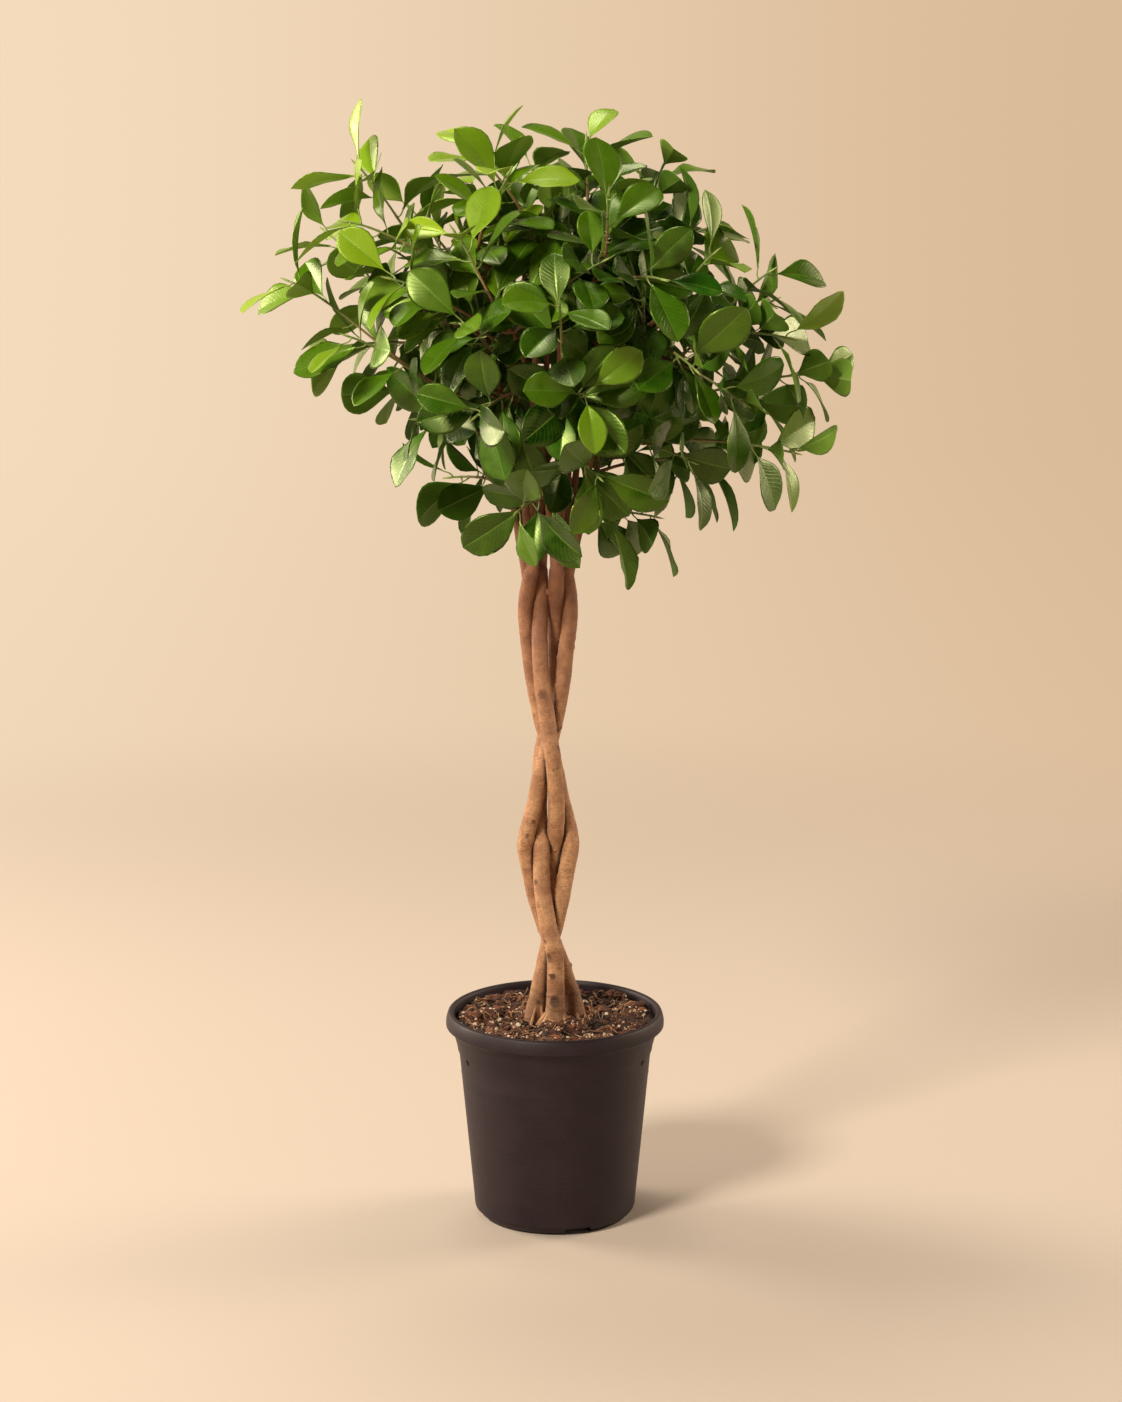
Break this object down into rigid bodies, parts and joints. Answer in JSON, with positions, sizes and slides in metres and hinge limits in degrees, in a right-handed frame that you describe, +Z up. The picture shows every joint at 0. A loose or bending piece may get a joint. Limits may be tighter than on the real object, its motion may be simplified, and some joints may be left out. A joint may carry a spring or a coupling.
{
  "type": "potted weeping fig",
  "caption": "Small standard tree in a round tapered nursery pot: braided bare stems rise out of potting soil to a dense round head of glossy oval leaves.",
  "frame": {"origin": "on the floor, under the middle of the pot", "axes": "+Z up, -Y out of the tree's best side, +X to the right as that side is looked at"},
  "size_m": [0.5281, 0.3781, 1.0003],
  "materials": {
    "black_plastic": "matte, faintly grained injection-moulded plastic",
    "potting_soil": "rough, moist bark and peat mix with white perlite",
    "bark": "matte tan bark with raised pores and leaf scars",
    "leaf": "glossy above, paler and duller below, with a pale midrib"
  },
  "bodies": {
    "root": {"pot": "black_plastic", "potting_soil": "potting_soil", "stem_1": "bark", "stem_2": "bark", "stem_3": "bark", "stem_4": "bark", "leafy_shoot_01": "leaf", "leafy_shoot_02": "leaf", "leafy_shoot_03": "leaf", "leafy_shoot_04": "leaf", "leafy_shoot_05": "leaf", "leafy_shoot_06": "leaf", "leafy_shoot_07": "leaf", "leafy_shoot_08": "leaf", "leafy_shoot_09": "leaf", "leafy_shoot_10": "leaf", "leafy_shoot_11": "leaf", "leafy_shoot_12": "leaf", "leafy_shoot_13": "leaf", "leafy_shoot_14": "leaf", "leafy_shoot_15": "leaf", "leafy_shoot_16": "leaf", "leafy_shoot_17": "leaf", "leafy_shoot_18": "leaf", "leafy_shoot_19": "leaf", "leafy_shoot_20": "leaf", "leafy_shoot_21": "leaf", "leafy_shoot_22": "leaf", "leafy_shoot_23": "leaf", "leafy_shoot_24": "leaf", "leafy_shoot_25": "leaf", "leafy_shoot_26": "leaf", "leafy_shoot_27": "leaf", "leafy_shoot_28": "leaf", "leafy_shoot_29": "leaf", "leafy_shoot_30": "leaf", "leafy_shoot_31": "leaf", "leafy_shoot_32": "leaf", "leafy_shoot_33": "leaf", "leafy_shoot_34": "leaf", "leafy_shoot_35": "leaf", "leafy_shoot_36": "leaf", "leafy_shoot_37": "leaf", "leafy_shoot_38": "leaf", "leafy_shoot_39": "leaf", "leafy_shoot_40": "leaf", "leafy_shoot_41": "leaf", "leafy_shoot_42": "leaf", "leafy_shoot_43": "leaf", "leafy_shoot_44": "leaf", "leafy_shoot_45": "leaf", "leafy_shoot_46": "leaf", "leafy_shoot_47": "leaf", "leafy_shoot_48": "leaf", "leafy_shoot_49": "leaf"}
  },
  "joints": []
}
